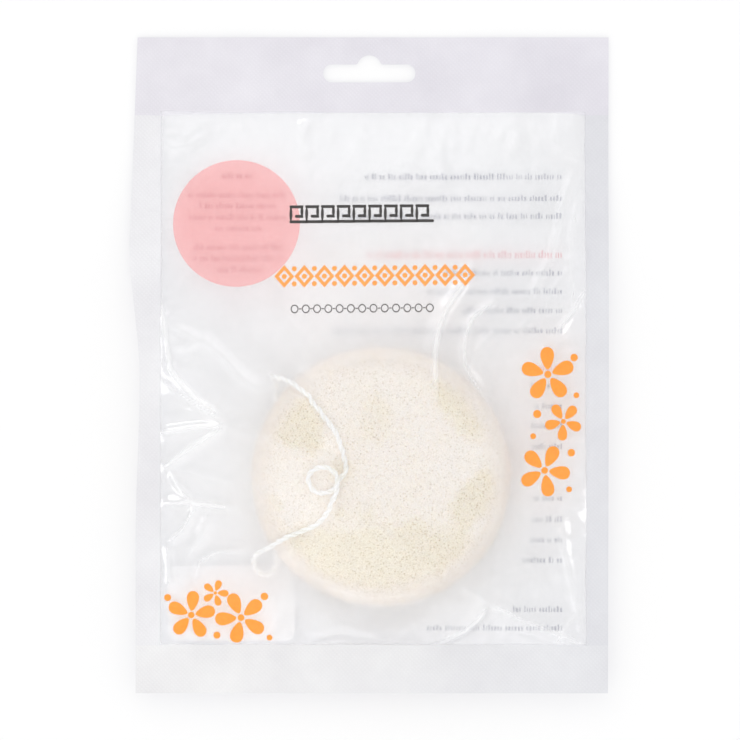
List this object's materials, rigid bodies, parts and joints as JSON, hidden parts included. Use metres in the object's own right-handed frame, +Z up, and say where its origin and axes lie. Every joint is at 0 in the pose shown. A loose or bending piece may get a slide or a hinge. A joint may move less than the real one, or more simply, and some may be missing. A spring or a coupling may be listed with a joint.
{
  "type": "konjac sponge in a hanging pouch",
  "caption": "Round konjac face sponge with a cotton hanging cord, loose inside a flat heat-sealed clear pouch with a hang slot in its frosted header.",
  "frame": {"origin": "middle of the pouch's footprint on the surface that it lies on", "axes": "+Z up through the front sheet, +Y towards the header with the hang slot, +X to the right as the front is read"},
  "size_m": [0.166, 0.227, 0.0312],
  "materials": {
    "konjac": "matte, fine open pores",
    "cord": "matte twisted cotton",
    "clear_film": "clear film with a soft haze",
    "sealed_film": "frosted heat seal",
    "label": "matte coated label"
  },
  "bodies": {
    "pouch": {"front_sheet": "clear_film", "back_sheet": "clear_film", "header_seal": "sealed_film", "bottom_seal": "sealed_film", "left_seal": "sealed_film", "right_seal": "sealed_film", "back_label": "label"},
    "sponge_and_cord": {"sponge": "konjac", "hang_cord": "cord", "cord_stitch": "cord", "cord_knot": "cord"}
  },
  "joints": [
    {"name": "sponge_shift", "type": "slide", "parent": "pouch", "child": "sponge_and_cord", "axis": [0, 1, 0], "range_m": [-0.004, 0.006]}
  ]
}
